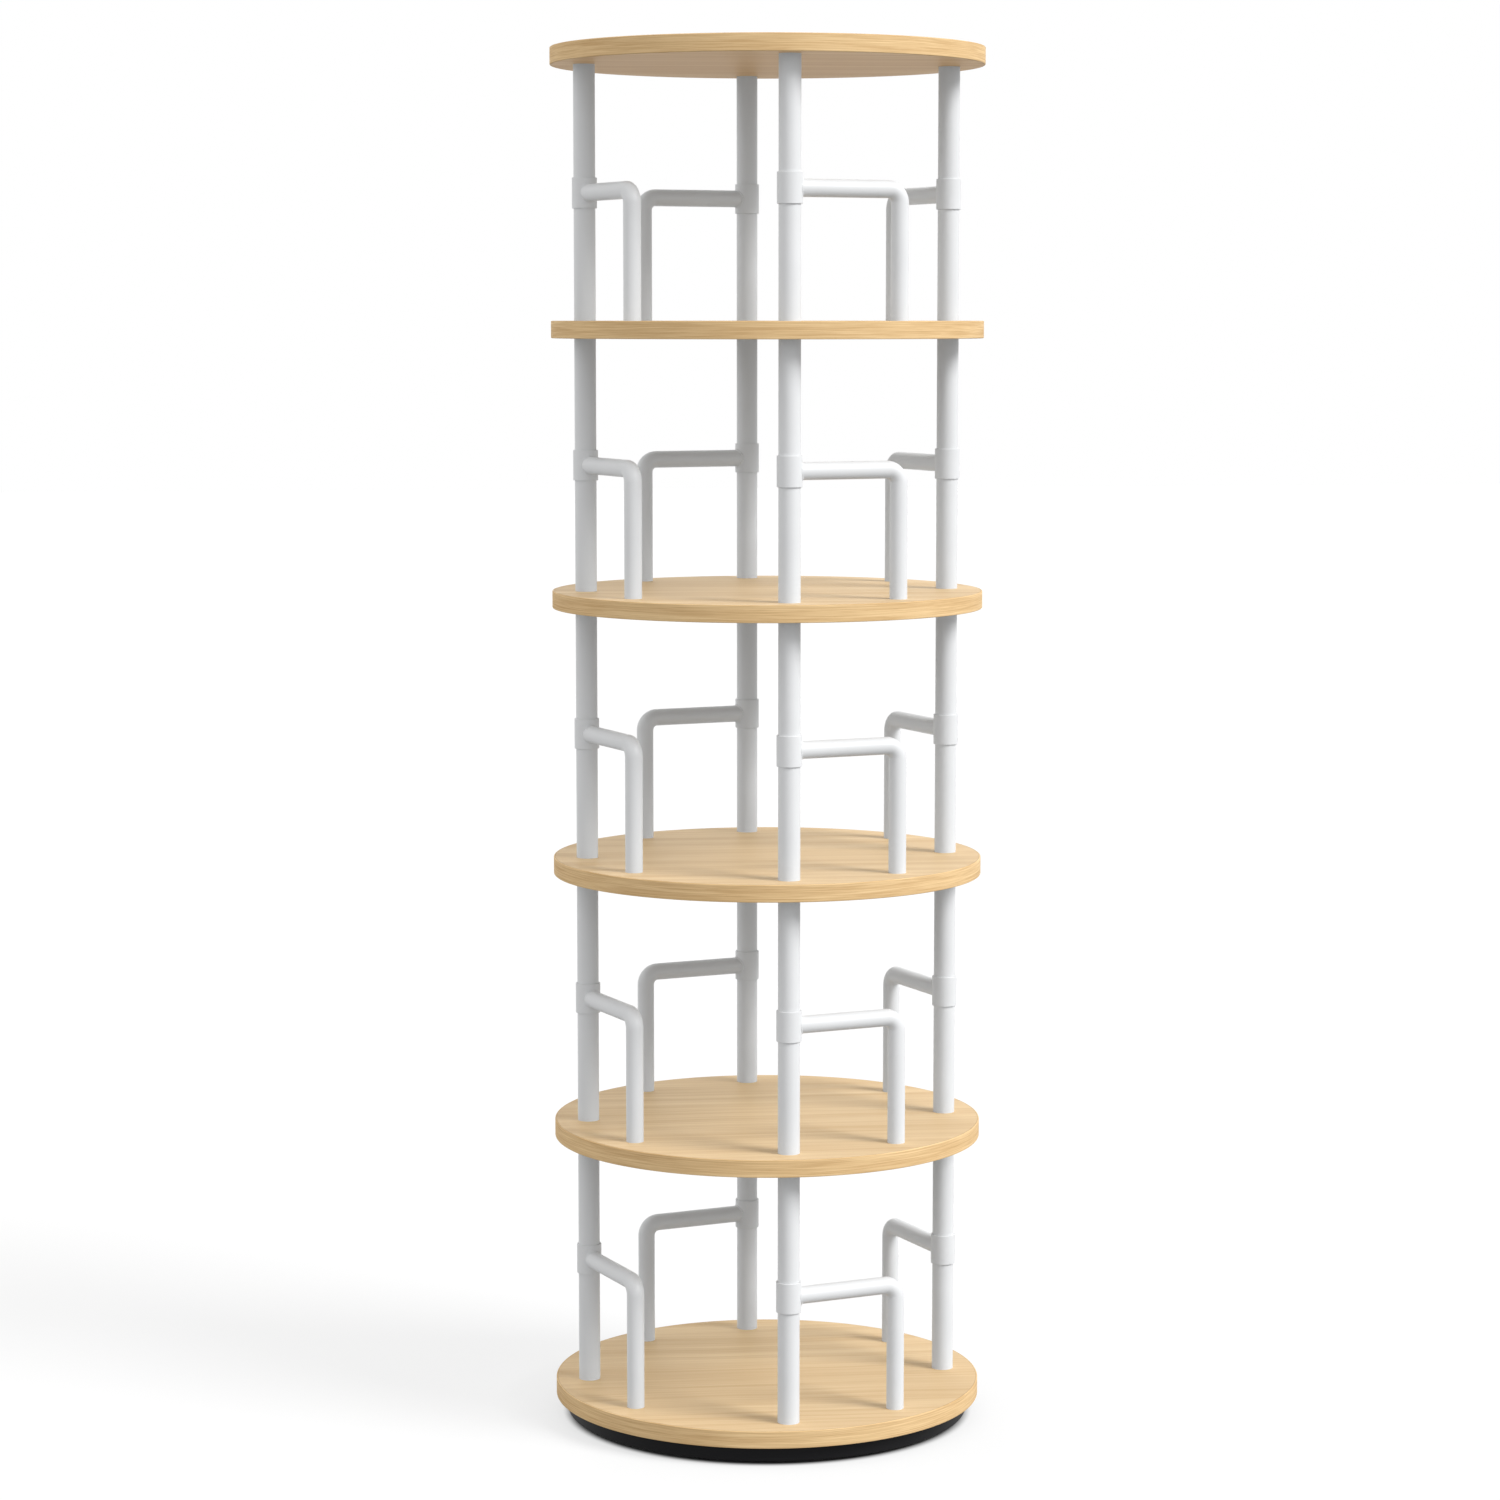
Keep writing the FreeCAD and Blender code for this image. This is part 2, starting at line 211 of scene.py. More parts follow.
def noise(tree, place, scales, detail=2.0, roughness=0.5):
    """Noise with its own scale along each axis, in cycles a metre."""
    stretched = vector_sums(tree, "MULTIPLY", place, scales)
    inputs = {"Vector": stretched, "Scale": 1.0, "Detail": detail, "Roughness": roughness}
    return add(tree, "ShaderNodeTexNoise", inputs).outputs["Fac"]


def ramp(tree, value, low, high):
    """A value stretched so that low becomes 0 and high becomes 1, with smooth ends."""
    inputs = {"Value": value, "From Min": low, "From Max": high}
    return add(tree, "ShaderNodeMapRange", inputs, interpolation_type="SMOOTHSTEP").outputs[0]


def bumped(tree, height, depth):
    """A normal bent by a height map whose depth is in metres."""
    return add(tree, "ShaderNodeBump", {"Height": height, "Distance": depth}).outputs["Normal"]


def place_on(tree):
    """Where a shaded point is on the object, in metres."""
    return add(tree, "ShaderNodeTexCoord").outputs["Object"]


print("helpers ready: mixed, noise, ramp, bumped, place_on")

# %% Helpers for groups and materials
COLOUR, FLOAT, VECTOR = "NodeSocketColor", "NodeSocketFloat", "NodeSocketVector"


def new_group(name, inputs, outputs):
    """An empty shader group with named sockets: its tree, what it is given, and what it puts out."""
    tree = bpy.data.node_groups.new(name, "ShaderNodeTree")
    for socket_name, kind, value in inputs:
        socket = tree.interface.new_socket(name=socket_name, in_out="INPUT", socket_type=kind)
        if value is not None:
            socket.default_value = value
    for socket_name, kind in outputs:
        tree.interface.new_socket(name=socket_name, in_out="OUTPUT", socket_type=kind)
    return tree, tree.nodes.new("NodeGroupInput").outputs, tree.nodes.new("NodeGroupOutput").inputs


def new_material(name, **values):
    """A material with these plain values on its shader: the material, its tree and shader inputs."""
    made = bpy.data.materials.new(name)
    made.use_nodes = True
    shader = made.node_tree.nodes["Principled BSDF"].inputs
    for key, value in values.items():
        shader[key.replace("_", " ")].default_value = value
    return made, made.node_tree, shader


def paint(material, *names):
    """Give frame nodes a material."""
    for name in names:
        nodes[name].material_slots[0].material = material


print("helpers ready: new_group, new_material, paint")

# %% [markdown]
# ## Wood grain
# The boards have a pale, straight-grained wood finish, and a band of the same finish runs round each
# rim. A picture could show the grain, but a formula has no seams and no fixed size. Grain is noise
# that is stretched a long way in one direction: broad bands, fine lines and short dark pores. Faces
# and bands share one group, which only has to be told which way is along the grain.

# %% Wood grain group
DRIFT_SCALES = (2.2, 7.0, 7.0)
BAND_SCALES = (0.9, 34.0, 34.0)
LINE_SCALES = (2.4, 230.0, 230.0)
HAIR_SCALES = (14.0, 1100.0, 1100.0)
NOISE_MIDDLE = 0.5

grain_group, given, result = new_group(
    "wood_grain",
    [
        ("Along the grain", VECTOR, None),
        ("Pale tone", COLOUR, (0.8, 0.6, 0.34, 1)),
        ("Dark tone", COLOUR, (0.6, 0.4, 0.2, 1)),
        ("Pore tone", COLOUR, (0.42, 0.26, 0.12, 1)),
        ("Pore share", FLOAT, 0.3),
        ("Line share", FLOAT, 0.5),
        ("Sway", FLOAT, 0.03),
        ("Least roughness", FLOAT, 0.4),
    ],
    [("Colour", COLOUR), ("Height", FLOAT), ("Roughness", FLOAT)],
)
grain_at = given["Along the grain"]
drift = sums(grain_group, "SUBTRACT", noise(grain_group, grain_at, DRIFT_SCALES), NOISE_MIDDLE)
sway = vector(grain_group, y=sums(grain_group, "MULTIPLY", drift, given["Sway"]))
swayed = vector_sums(grain_group, "ADD", grain_at, sway)
band_noise = noise(grain_group, swayed, BAND_SCALES, detail=3.0, roughness=0.55)
line_noise = noise(grain_group, swayed, LINE_SCALES, detail=3.0, roughness=0.6)
hair_noise = noise(grain_group, swayed, HAIR_SCALES, detail=2.0, roughness=0.6)
bands = ramp(grain_group, band_noise, low=0.30, high=0.70)
lines = ramp(grain_group, line_noise, low=0.28, high=0.72)
hairs = ramp(grain_group, hair_noise, low=0.58, high=0.72)
pores = sums(grain_group, "MULTIPLY", hairs, lines)
finer = sums(grain_group, "SUBTRACT", lines, bands)
tone = sums(grain_group, "MULTIPLY_ADD", finer, given["Line share"], bands)
print("wood grain group:", len(grain_group.nodes), "nodes for bands, lines and pores")

# %% Wood grain results
LINE_HEIGHT = -0.4
ROUGHNESS_SWING = 0.12

ground = mixed(grain_group, tone, given["Pale tone"], given["Dark tone"])
pore_cover = sums(grain_group, "MULTIPLY", pores, given["Pore share"])
filled = sums(grain_group, "SUBTRACT", 1.0, pores)
ridge = sums(grain_group, "MULTIPLY_ADD", lines, LINE_HEIGHT, filled)
grain_group.links.new(mixed(grain_group, pore_cover, ground, given["Pore tone"]), result["Colour"])
grain_group.links.new(ridge, result["Height"])
rough = sums(grain_group, "MULTIPLY_ADD", tone, ROUGHNESS_SWING, given["Least roughness"])
grain_group.links.new(rough, result["Roughness"])
print("wood grain puts out:", [socket.name for socket in result if socket.name])

# %% [markdown]
# ## Light that bounces off wood
# Light that falls on a shelf bounces on to the tubes and tints them cream, but the photograph's
# tubes are a clean grey. Paler wood would weaken the tint and spoil the wood. So for light on its
# second leg, which the Light Path node calls a diffuse ray, the wood is a plain grey, and only a look
# straight at it shows the colour.

# %% Plain grey in bounces
BOUNCE_GREY = (0.44, 0.42, 0.385, 1)


def plain_in_bounces(tree, colour):
    """A colour that counts as plain grey for light that bounces on to other things."""
    bounced = add(tree, "ShaderNodeLightPath").outputs["Is Diffuse Ray"]
    return mixed(tree, bounced, colour, BOUNCE_GREY)


print("bounced light is grey:", BOUNCE_GREY[:3])

# %% [markdown]
# ## Board faces
# On the faces the grain runs from left to right. The board's own height moves the pattern from board
# to board, so that no two look alike. The finish is matt, so the low gloss keeps the wood warm even
# where it is seen at a flat angle. The undersides are painted a shade warmer, a painted stand-in for
# warm light bounced up from the shelf below. Where a face meets its rim band, the glue line shows as
# a thin darker ring.

# %% Board face finish
WOOD_GLOSS = 0.07
GRAIN_DEPTH = 0.00005
FACE_STRETCH = (1.8, 1.6, 3.0)
FACE_GRAIN = {
    "Pale tone": (0.865, 0.648, 0.383, 1),
    "Dark tone": (0.705, 0.485, 0.257, 1),
    "Pore tone": (0.52, 0.335, 0.16, 1),
}
GLUE_LINE_WIDTH = 0.0008
GLUE_TONE = (0.36, 0.22, 0.10, 1)
GLUE_COVER = 0.4
PAINTED_BOUNCE_TINT = (1.07, 0.98, 0.90, 1)

board_wood, tree, shader = new_material("board_wood", Specular_IOR_Level=WOOD_GLOSS)
here = place_on(tree)
along_face = vector_sums(tree, "MULTIPLY", here, FACE_STRETCH)
face_inputs = {"Along the grain": along_face, **FACE_GRAIN}
grain = add(tree, "ShaderNodeGroup", face_inputs, node_tree=grain_group)
glue_start = core_radius - GLUE_LINE_WIDTH
glue = ramp(tree, flat_length(tree, here), glue_start, glue_start + GLUE_LINE_WIDTH / 2)
faces = mixed(tree, sums(tree, "MULTIPLY", glue, GLUE_COVER), grain.outputs["Colour"], GLUE_TONE)
# Painted bounce light: faces that point down are tinted warmer, standing in for warm light bounced up
# from the shelf below.
facing = axes_of(tree, add(tree, "ShaderNodeNewGeometry").outputs["True Normal"])
painted_bounce_side = sums(tree, "LESS_THAN", facing["Z"], 0.0)
faces = mixed(tree, painted_bounce_side, faces, PAINTED_BOUNCE_TINT, "MULTIPLY")
tree.links.new(plain_in_bounces(tree, faces), shader["Base Color"])
tree.links.new(grain.outputs["Roughness"], shader["Roughness"])
tree.links.new(bumped(tree, grain.outputs["Height"], GRAIN_DEPTH), shader["Normal"])
paint(board_wood, *BOARDS)
print("board faces painted:", len(BOARDS))

# %% [markdown]
# ## Rim band finish
# The band is a long strip bent round the board, so its grain follows the rim. The distance along the
# strip is the heading about the turning axis times the radius, and the distance across it is the
# height. A strip is cut from straight wood, so its lines sway less than a face's. Its two ends meet
# at the back, in a hairline joint.

# %% Rim band finish
STRIP_STRETCH = (7.0, 3.5, 3.5)
STRIP_GRAIN = {
    "Pale tone": (0.96, 0.70, 0.385, 1),
    "Dark tone": (0.64, 0.405, 0.185, 1),
    "Pore tone": (0.42, 0.25, 0.10, 1),
    "Line share": 0.65,
    "Sway": 0.008,
    "Least roughness": 0.58,
}
JOINT_WIDTH = 0.0006
JOINT_TONE = (0.25, 0.15, 0.07, 1)
JOINT_COVER = 0.6

band_wood, tree, shader = new_material("rim_band_wood", Specular_IOR_Level=WOOD_GLOSS)
axes = axes_of(tree, place_on(tree))
heading = sums(tree, "ARCTAN2", axes["X"], sums(tree, "MULTIPLY", axes["Y"], -1.0))
along = sums(tree, "MULTIPLY", heading, rim_radius)
along_strip = vector_sums(tree, "MULTIPLY", vector(tree, along, axes["Z"], axes["Z"]), STRIP_STRETCH)
strip_inputs = {"Along the grain": along_strip, **STRIP_GRAIN}
grain = add(tree, "ShaderNodeGroup", strip_inputs, node_tree=grain_group)
to_joint = sums(tree, "SUBTRACT", math.pi * rim_radius, sums(tree, "ABSOLUTE", along))
joint = sums(tree, "SUBTRACT", 1.0, ramp(tree, to_joint, 0.0, JOINT_WIDTH))
joint_cover = sums(tree, "MULTIPLY", joint, JOINT_COVER)
strip_colour = mixed(tree, joint_cover, grain.outputs["Colour"], JOINT_TONE)
tree.links.new(plain_in_bounces(tree, strip_colour), shader["Base Color"])
tree.links.new(grain.outputs["Roughness"], shader["Roughness"])
tree.links.new(bumped(tree, grain.outputs["Height"], GRAIN_DEPTH), shader["Normal"])
print(f"rim band finish ready for a strip of {math.tau * rim_radius:.3f} m")

# %% [markdown]
# ## Powder coat, black paint, rubber and plastic
# All four have a fine skin: a soft swell like orange peel with a finer tooth on it, and tones that
# cloud a little. That is one group, and each finish sets its own values.

# %% Skin group
SKIN_DETAIL = 1.0
TOOTH_SHARE = 0.25
CLOUD_SCALES = (16.0, 16.0, 16.0)

skin_group, given, result = new_group(
    "skin",
    [
        ("Swell", FLOAT, 320.0),
        ("Tooth", FLOAT, 1800.0),
        ("Mean roughness", FLOAT, 0.4),
        ("Swing", FLOAT, 0.1),
    ],
    [("Height", FLOAT), ("Roughness", FLOAT), ("Cloud", FLOAT)],
)
here = place_on(skin_group)
swell_inputs = {"Vector": here, "Scale": given["Swell"], "Detail": SKIN_DETAIL}
tooth_inputs = {"Vector": here, "Scale": given["Tooth"], "Detail": SKIN_DETAIL}
swell = add(skin_group, "ShaderNodeTexNoise", swell_inputs).outputs["Fac"]
tooth = add(skin_group, "ShaderNodeTexNoise", tooth_inputs).outputs["Fac"]
cloud = ramp(skin_group, noise(skin_group, here, CLOUD_SCALES, detail=3.0), low=0.3, high=0.7)
clouding = sums(skin_group, "SUBTRACT", cloud, NOISE_MIDDLE)
swing = sums(skin_group, "MULTIPLY", clouding, given["Swing"])
skin_group.links.new(sums(skin_group, "MULTIPLY_ADD", tooth, TOOTH_SHARE, swell), result["Height"])
skin_group.links.new(sums(skin_group, "ADD", swing, given["Mean roughness"]), result["Roughness"])
skin_group.links.new(cloud, result["Cloud"])
print("skin group:", len(skin_group.nodes), "nodes")


# %% Painted and moulded finishes
def skinned(name, first, second, depth, roughness, swing=0.1, **values):
    """A finish with the skin group: two near tones, a bump depth in metres and a mean roughness."""
    made, tree, shader = new_material(name, **values)
    skin_inputs = {"Mean roughness": roughness, "Swing": swing}
    skin = add(tree, "ShaderNodeGroup", skin_inputs, node_tree=skin_group)
    tree.links.new(mixed(tree, skin.outputs["Cloud"], first, second), shader["Base Color"])
    tree.links.new(skin.outputs["Roughness"], shader["Roughness"])
    tree.links.new(bumped(tree, skin.outputs["Height"], depth), shader["Normal"])
    return made


white_coat = skinned(
    "white_powder_coat", (0.80, 0.81, 0.82, 1), (0.83, 0.84, 0.85, 1),
    depth=0.00002, roughness=0.42,
)
black_paint = skinned(
    "black_base", (0.0065, 0.0065, 0.0075, 1), (0.0085, 0.0085, 0.0095, 1),
    depth=0.00003, roughness=0.5, swing=0.04, Specular_IOR_Level=0.12,
)
foot_rubber = skinned(
    "foot_rubber", (0.018, 0.018, 0.018, 1), (0.028, 0.028, 0.027, 1),
    depth=0.00006, roughness=0.75, Specular_IOR_Level=0.3,
)
cage_plastic = skinned(
    "cage_plastic", (0.62, 0.61, 0.57, 1), (0.68, 0.67, 0.63, 1),
    depth=0.00003, roughness=0.45,
)
paint(white_coat, *POSTS)
paint(cage_plastic, "turntable_ball_cage")
print("painted: posts and ball cage")

# %% [markdown]
# ## Turned and plated metal
# The turntable's rings are turned aluminium, and the screws are zinc-plated steel. A lathe leaves
# fine rings round the axis of what it turns, so the group is given the distance from that axis. An
# even noise clouds the plating.

# %% Metal group
PLATING_SCALES = (90.0, 90.0, 90.0)
PLATING_SWING = 0.2

metal_group, given, result = new_group(
    "turned_metal",
    [("From axis", FLOAT, 0.0), ("Rings a metre", FLOAT, 2500.0), ("Mean roughness", FLOAT, 0.35)],
    [("Height", FLOAT), ("Roughness", FLOAT), ("Cloud", FLOAT)],
)
outwards = sums(metal_group, "MULTIPLY", given["From axis"], given["Rings a metre"])
rings = add(metal_group, "ShaderNodeTexNoise", noise_dimensions="1D")
metal_group.links.new(outwards, rings.inputs["W"])
cloud = noise(metal_group, place_on(metal_group), PLATING_SCALES, detail=3.0)
clouding = sums(metal_group, "SUBTRACT", cloud, NOISE_MIDDLE)
worn = sums(metal_group, "MULTIPLY_ADD", clouding, PLATING_SWING, given["Mean roughness"])
metal_group.links.new(rings.outputs["Fac"], result["Height"])
metal_group.links.new(worn, result["Roughness"])
metal_group.links.new(cloud, result["Cloud"])
print("metal group:", len(metal_group.nodes), "nodes")


# %% Metal finishes
LATHE_DEPTH = 0.00001
OWN_AXIS = "from_own_axis"


def metal(name, first, second, roughness, own_axis=False):
    """A metal finish with lathe rings about the turning axis, or about each copy's own axis."""
    made, tree, shader = new_material(name, Metallic=1.0)
    if own_axis:
        from_axis = add(tree, "ShaderNodeAttribute", attribute_name=OWN_AXIS).outputs["Fac"]
    else:
        from_axis = flat_length(tree, place_on(tree))
    turned_inputs = {"From axis": from_axis, "Mean roughness": roughness}
    turned = add(tree, "ShaderNodeGroup", turned_inputs, node_tree=metal_group)
    tree.links.new(mixed(tree, turned.outputs["Cloud"], first, second), shader["Base Color"])
    tree.links.new(turned.outputs["Roughness"], shader["Roughness"])
    tree.links.new(bumped(tree, turned.outputs["Height"], LATHE_DEPTH), shader["Normal"])
    return made


ZINC_TONES = ((0.56, 0.57, 0.59, 1), (0.66, 0.67, 0.68, 1))
aluminium = metal(
    "turntable_aluminium", (0.66, 0.67, 0.68, 1), (0.74, 0.75, 0.76, 1), roughness=0.36
)
ball_steel = metal("ball_steel", (0.56, 0.56, 0.57, 1), (0.62, 0.62, 0.63, 1), roughness=0.16)
zinc_steel = metal("zinc_steel", *ZINC_TONES, roughness=0.34)
screw_zinc = metal("screw_zinc", *ZINC_TONES, roughness=0.32, own_axis=True)
paint(aluminium, "turntable_lower_ring", "turntable_upper_ring")
paint(ball_steel, "turntable_balls")
paint(zinc_steel, "turntable_lower_screws", "turntable_upper_screws", "post_studs", "top_inserts")
print("painted: turntable rings, balls, ring screws, studs and inserts")

# %% [markdown]
# ## Copies on places
# Rails, rim bands, screws and foot pads repeat. Copying meshes in a loop would work, but a Geometry
# Nodes tree keeps the sizes as named inputs that can be tried out by hand. Each tree takes a cloud of
# places, makes one piece at the origin and sets copies of it out on the places. The result is then
# turned into a plain mesh that rides on a body.

# %% Helpers for curves and sweeps
def joined(tree, *parts):
    """Several shapes as one."""
    join = tree.nodes.new("GeometryNodeJoinGeometry")
    for part in parts:
        tree.links.new(part, join.inputs[0])
    return join.outputs[0]


def shifted(tree, shape, offset):
    """A shape moved by an offset."""
    return add(tree, "GeometryNodeTransform", {"Geometry": shape, "Translation": offset}).outputs[0]


def swept(tree, path, section, caps=False, scale=1.0):
    """A section swept along a path."""
    inputs = {"Curve": path, "Profile Curve": section, "Fill Caps": caps, "Scale": scale}
    return add(tree, "GeometryNodeCurveToMesh", inputs).outputs[0]


def circle(tree, radius, steps):
    """A circle about the Z axis."""
    inputs = {"Resolution": steps, "Radius": radius}
    return add(tree, "GeometryNodeCurvePrimitiveCircle", inputs).outputs[0]


def rectangle(tree, width, height):
    """A rectangle about the origin."""
    inputs = {"Width": width, "Height": height}
    return add(tree, "GeometryNodeCurvePrimitiveQuadrilateral", inputs).outputs[0]


def rounded(tree, path, radius, steps):
    """A path whose corners are rounded with arcs."""
    inputs = {"Curve": path, "Radius": radius, "Count": steps, "Limit Radius": True}
    return add(tree, "GeometryNodeFilletCurve", inputs, mode="POLY").outputs[0]


def cylinder(tree, radius, depth, steps):
    """A closed cylinder about the origin."""
    inputs = {"Vertices": steps, "Radius": radius, "Depth": depth}
    return add(tree, "GeometryNodeMeshCylinder", inputs).outputs["Mesh"]


print("helpers ready: joined, shifted, swept, circle, rectangle, rounded, cylinder")

# %% Helpers for moving points
RIM_STEPS = 240
ROUND_STEPS = 4


def moved_to(tree, shape, place, chosen=True):
    """A shape whose chosen points go to a new place."""
    inputs = {"Geometry": shape, "Selection": chosen, "Position": place}
    return add(tree, "GeometryNodeSetPosition", inputs).outputs[0]


def position(tree):
    """Where each point is."""
    return add(tree, "GeometryNodeInputPosition").outputs[0]


def way_along(tree):
    """How far along its curve each point is, from 0 to 1."""
    return add(tree, "GeometryNodeSplineParameter").outputs["Factor"]


def is_less(tree, first, second):
    """True where the first number is less."""
    return add(tree, "FunctionNodeCompare", {0: first, 1: second}, operation="LESS_THAN").outputs[0]


def other_leg(tree, longest, leg):
    """The other short side of a right triangle."""
    squares = [sums(tree, "POWER", side, 2.0) for side in (longest, leg)]
    return sums(tree, "SQRT", sums(tree, "SUBTRACT", *squares))


def rounded_ring(tree, inner, outer, height, edge_round, scrape=0.0):
    """A ring about the Z axis with rounded outer corners, and inner corners drawn in a little."""
    depth = sums(tree, "SUBTRACT", outer, inner)
    axes = axes_of(tree, position(tree))
    drawn_in = sums(tree, "MULTIPLY", sums(tree, "SIGN", axes["Y"]), scrape)
    nearer = vector(tree, axes["X"], sums(tree, "SUBTRACT", axes["Y"], drawn_in))
    section = rectangle(tree, depth, height)
    scraped = moved_to(tree, section, nearer, is_less(tree, axes["X"], 0.0))
    outer_only = sums(tree, "MULTIPLY", edge_round, sums(tree, "GREATER_THAN", axes["X"], 0.0))
    middle = sums(tree, "MULTIPLY_ADD", depth, 0.5, inner)
    return swept(tree, circle(tree, middle, RIM_STEPS), rounded(tree, scraped, outer_only, ROUND_STEPS))


print("helpers ready: moved_to, position, way_along, is_less, other_leg, rounded_ring")

# %% Helpers for a tree's start and end
SHARP_ANGLE = math.radians(35)


def new_tree(name, *sizes):
    """An empty tree that takes places, named sizes and a finish: its tree, inputs and outputs."""
    tree = bpy.data.node_groups.new(name, "GeometryNodeTree")
    tree.interface.new_socket(name="Places", in_out="INPUT", socket_type="NodeSocketGeometry")
    for size in sizes:
        tree.interface.new_socket(name=size, in_out="INPUT", socket_type=FLOAT)
    tree.interface.new_socket(name="Finish", in_out="INPUT", socket_type="NodeSocketMaterial")
    tree.interface.new_socket(name="Pieces", in_out="OUTPUT", socket_type="NodeSocketGeometry")
    return tree, tree.nodes.new("NodeGroupInput").outputs, tree.nodes.new("NodeGroupOutput").inputs


def set_out(tree, given, result, piece):
    """End a tree: copies of a piece on every place, turned, made real, smoothed and painted."""
    turn = add(tree, "GeometryNodeInputNamedAttribute", {"Name": "turn"}).outputs["Attribute"]
    rotation = add(tree, "FunctionNodeEulerToRotation", {"Euler": vector(tree, z=turn)}).outputs[0]
    copies = {"Points": given["Places"], "Instance": piece, "Rotation": rotation}
    placed = add(tree, "GeometryNodeInstanceOnPoints", copies).outputs[0]
    real = add(tree, "GeometryNodeRealizeInstances", {"Geometry": placed}).outputs[0]
    smooth = add(tree, "GeometryNodeSetShadeSmooth", {"Geometry": real}).outputs[0]
    angle = add(tree, "GeometryNodeInputMeshEdgeAngle").outputs["Unsigned Angle"]
    sharp = is_less(tree, SHARP_ANGLE, angle)
    crisp = {"Geometry": smooth, "Selection": sharp, "Shade Smooth": False}
    shaded = add(tree, "GeometryNodeSetShadeSmooth", crisp, domain="EDGE").outputs[0]
    painted = {"Geometry": shaded, "Material": given["Finish"]}
    tree.links.new(add(tree, "GeometryNodeSetMaterial", painted).outputs[0], result["Pieces"])
    print(f"{tree.name} tree: {len(tree.nodes)} nodes")


print("helpers ready: new_tree, set_out")


# %% Turning a tree into a plain mesh
def make_pieces(name, tree, places, turns, finish, sizes):
    """Run a tree on places and keep the result as a plain mesh object at the origin."""
    mesh = bpy.data.meshes.new(name)
    mesh.from_pydata(places, [], [])
    mesh.attributes.new("turn", "FLOAT", "POINT").data.foreach_set("value", turns)
    piece = add_object(name, mesh)
    modifier = piece.modifiers.new("pieces", "NODES")
    modifier.node_group = tree
    values = dict(sizes, Finish=finish)
    for socket in tree.interface.items_tree:
        if socket.in_out == "INPUT" and socket.name in values:
            modifier[socket.identifier] = values[socket.name]
    piece.modifiers.new("even_shading", "WEIGHTED_NORMAL").keep_sharp = True
    depsgraph = bpy.context.evaluated_depsgraph_get()
    finished = bpy.data.meshes.new_from_object(
        piece.evaluated_get(depsgraph), preserve_all_data_layers=True, depsgraph=depsgraph
    )
    piece.modifiers.clear()
    piece.data = finished
    triangles = sum(len(face.vertices) - 2 for face in finished.polygons)
    print(f"{name}: {len(places)} copies, {triangles} triangles")
    return piece


print("helper ready: make_pieces")

# %% [markdown]
# ## Guard rails: the bent tube
# The real rail is a tube bent round a former, cut to fit a sleeve, welded to it and powder coated.
# Its tree has the post on the Z axis. A straight line from the sleeve to the leg's foot gets a third
# point, which is pulled out to the corner and rounded, and a circle is swept along the result.

# %% Rail tube
TUBE_STEPS = 40
BEND_STEPS = 14
PATH_POINTS = 3
NEAR_MIDDLE = 0.25

rail_tree, given, result = new_tree(
    "guard_rail", "Reach", "Rail height", "Tube radius", "Bend radius",
    "Sleeve radius", "Sleeve bore", "Sleeve height", "Edge softness", "Bead radius",
)
ends = {"Start": vector(rail_tree, z=given["Rail height"]), "End": vector(rail_tree, x=given["Reach"])}
straight = add(rail_tree, "GeometryNodeCurvePrimitiveLine", ends).outputs[0]
split = {"Curve": straight, "Count": PATH_POINTS}
with_corner = add(rail_tree, "GeometryNodeResampleCurve", split).outputs[0]
off_middle = sums(rail_tree, "ABSOLUTE", sums(rail_tree, "SUBTRACT", way_along(rail_tree), 0.5))
corner = vector(rail_tree, given["Reach"], 0.0, given["Rail height"])
elbow = moved_to(rail_tree, with_corner, corner, is_less(rail_tree, off_middle, NEAR_MIDDLE))
bent = rounded(rail_tree, elbow, given["Bend radius"], BEND_STEPS)
tube = swept(rail_tree, bent, circle(rail_tree, given["Tube radius"], TUBE_STEPS), caps=True)
print("rail tube:", len(rail_tree.nodes), "nodes so far")

# %% [markdown]
# ## Guard rails: notch and sleeve
# A tube's end is notched before it is welded to a round sleeve. Here the near end is drawn on to a
# circle inside the sleeve's wall: at a distance to the side, the distance out from the post is the
# other leg of a right triangle. The sleeve is a rectangle with softened corners, swept round the post.

# %% Rail notch and sleeve
SLEEVE_STEPS = 64
SOFT_STEPS = 3

wall = sums(rail_tree, "SUBTRACT", given["Sleeve radius"], given["Sleeve bore"])
wall_middle = sums(rail_tree, "MULTIPLY_ADD", wall, 0.5, given["Sleeve bore"])
axes = axes_of(rail_tree, position(rail_tree))
notched = vector(rail_tree, other_leg(rail_tree, wall_middle, axes["Y"]), axes["Y"], axes["Z"])
near_end = is_less(rail_tree, axes["X"], sums(rail_tree, "MULTIPLY", wall, 0.5))
tube = moved_to(rail_tree, tube, notched, near_end)

section = rectangle(rail_tree, wall, given["Sleeve height"])
soft_section = rounded(rail_tree, section, given["Edge softness"], SOFT_STEPS)
sleeve = swept(rail_tree, circle(rail_tree, wall_middle, SLEEVE_STEPS), soft_section)
print("notch and sleeve:", len(rail_tree.nodes), "nodes so far")

# %% [markdown]
# ## Guard rails: the weld
# The weld follows the line where the two round surfaces meet, which is a saddle and again comes from
# a right triangle, now on the sleeve's radius. A slow ripple in the bead's thickness is what a
# welder's steady hand leaves under the coat.

# %% Rail weld
BEAD_STEPS = 144
BEAD_SIDES = 8
BEAD_RIPPLES = 24
BEAD_SWELL = 0.05

